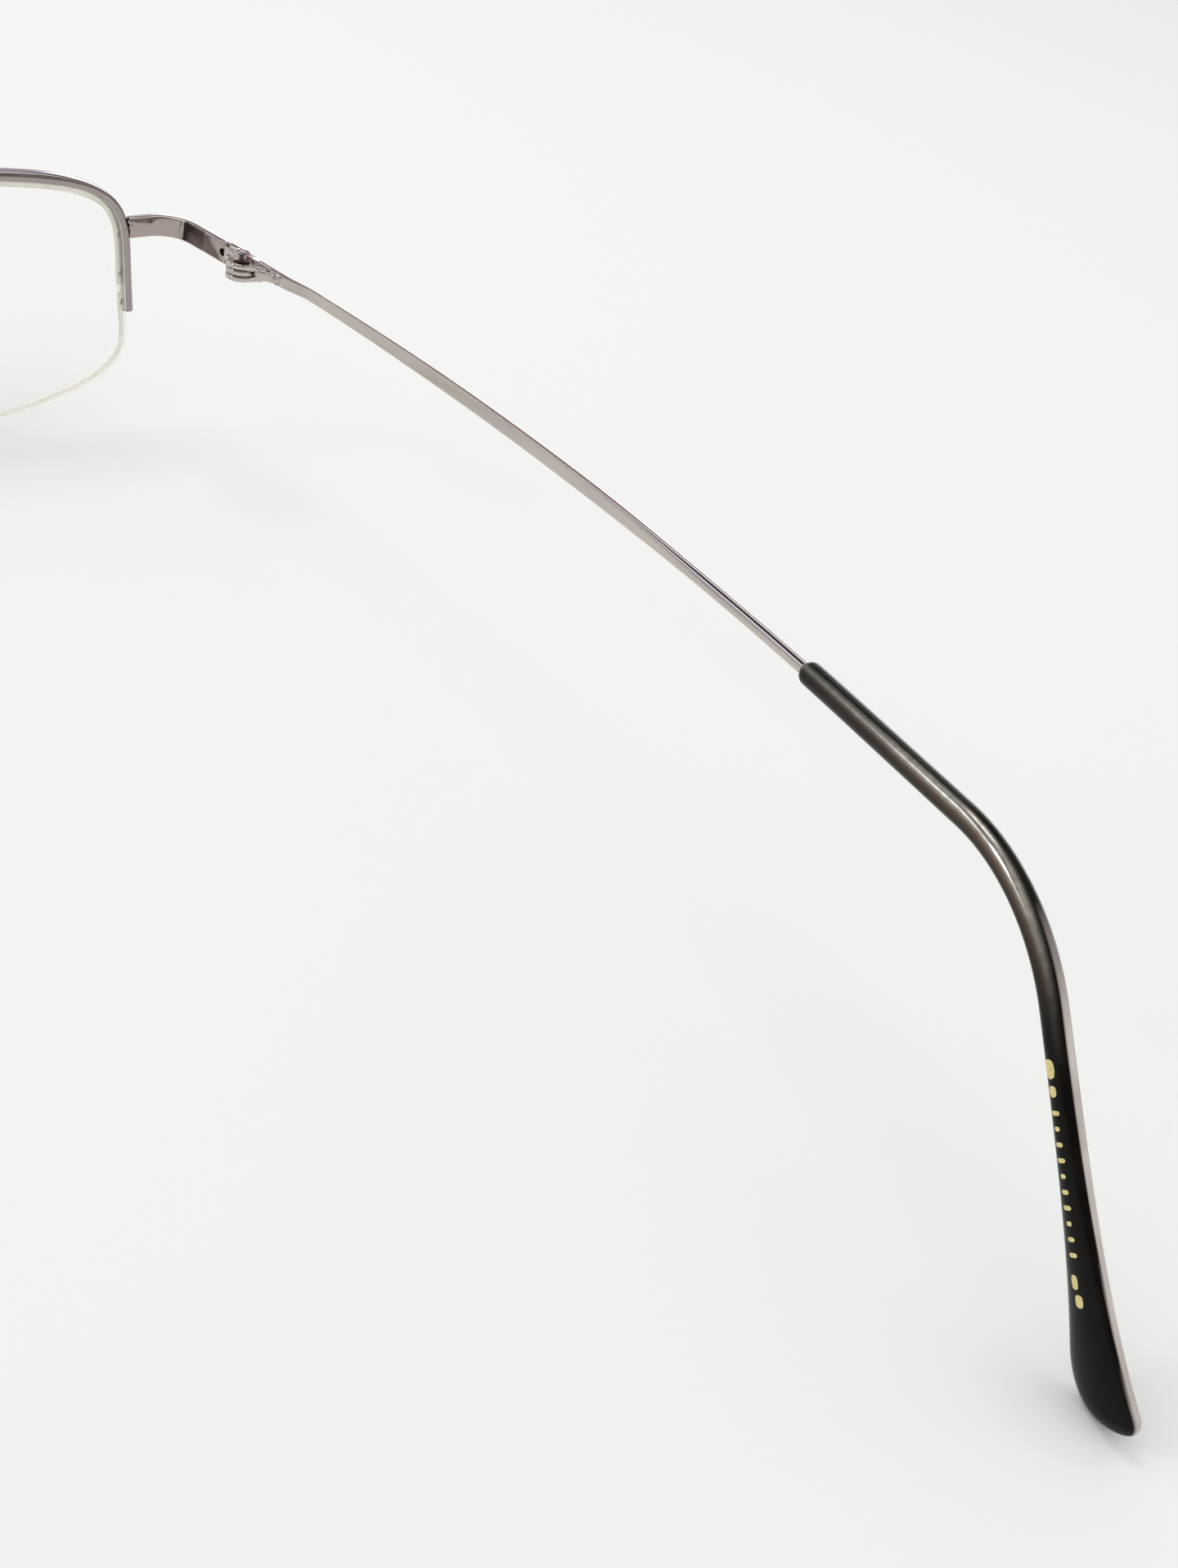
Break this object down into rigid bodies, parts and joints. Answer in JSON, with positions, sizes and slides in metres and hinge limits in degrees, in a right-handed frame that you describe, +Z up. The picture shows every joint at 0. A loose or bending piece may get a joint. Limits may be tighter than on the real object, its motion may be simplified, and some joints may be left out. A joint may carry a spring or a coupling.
{
  "type": "half-rim spectacles",
  "caption": "Half-rim spectacles with clear lenses held by upper metal rims and lower nylon cords, a bridge, rocking nose pads and folding wire temples with moulded tips.",
  "frame": {"origin": "On the table below the middle of the bounding box, with the temples open and the spectacles resting on the lower lens edges and the temple tips.", "axes": "+X to the wearer's left, +Y back along the temples, +Z up."},
  "size_m": [0.1406, 0.1505, 0.0269],
  "materials": {
    "frame_metal": "polished gunmetal plate",
    "hinge_metal": "fine machined",
    "screw_metal": "bright turned",
    "lens_clear": "clear, coated",
    "nylon": "clear monofilament and strip",
    "tip_plastic": "glossy dark olive brown",
    "pad_silicone": "soft translucent"
  },
  "bodies": {
    "front": {"bridge": "frame_metal", "rim_left": "frame_metal", "rim_right": "frame_metal", "lens_left": "lens_clear", "lens_right": "lens_clear", "rim_liner_left": "nylon", "rim_liner_right": "nylon", "lens_cord_left": "nylon", "lens_cord_right": "nylon", "end_piece_left": "frame_metal", "end_piece_right": "frame_metal", "hinge_front_leaf_left": "hinge_metal", "hinge_front_leaf_right": "hinge_metal", "pad_arm_left": "frame_metal", "pad_arm_right": "frame_metal", "pad_box_left": "frame_metal", "pad_box_right": "frame_metal", "pad_screw_left": "screw_metal", "pad_screw_right": "screw_metal"},
    "temple_left": {"temple_left": "frame_metal", "temple_tip_left": "tip_plastic", "hinge_temple_leaf_left": "hinge_metal", "hinge_screw_left": "screw_metal"},
    "nose_pad_left": {"nose_pad_left": "pad_silicone", "pad_core_left": "nylon"},
    "temple_right": {"temple_right": "frame_metal", "temple_tip_right": "tip_plastic", "hinge_temple_leaf_right": "hinge_metal", "hinge_screw_right": "screw_metal"},
    "nose_pad_right": {"nose_pad_right": "pad_silicone", "pad_core_right": "nylon"}
  },
  "joints": [
    {"name": "temple_fold_left", "type": "hinge", "parent": "front", "child": "temple_left", "pos_m": [0.0677, -0.05475, 0.02073], "axis": [0, -0.0507, 0.9987], "range_deg": [0, 85]},
    {"name": "temple_fold_right", "type": "hinge", "parent": "front", "child": "temple_right", "pos_m": [-0.0677, -0.05475, 0.02073], "axis": [0, 0.0507, -0.9987], "range_deg": [0, 79]},
    {"name": "pad_rock_left", "type": "hinge", "parent": "front", "child": "nose_pad_left", "pos_m": [0.0113, -0.06277, 0.01103], "axis": [0.4384, 0.8976, 0.0456], "range_deg": [-8, 8]},
    {"name": "pad_rock_right", "type": "hinge", "parent": "front", "child": "nose_pad_right", "pos_m": [-0.0113, -0.06277, 0.01103], "axis": [0.4384, -0.8976, -0.0456], "range_deg": [-8, 8]}
  ]
}
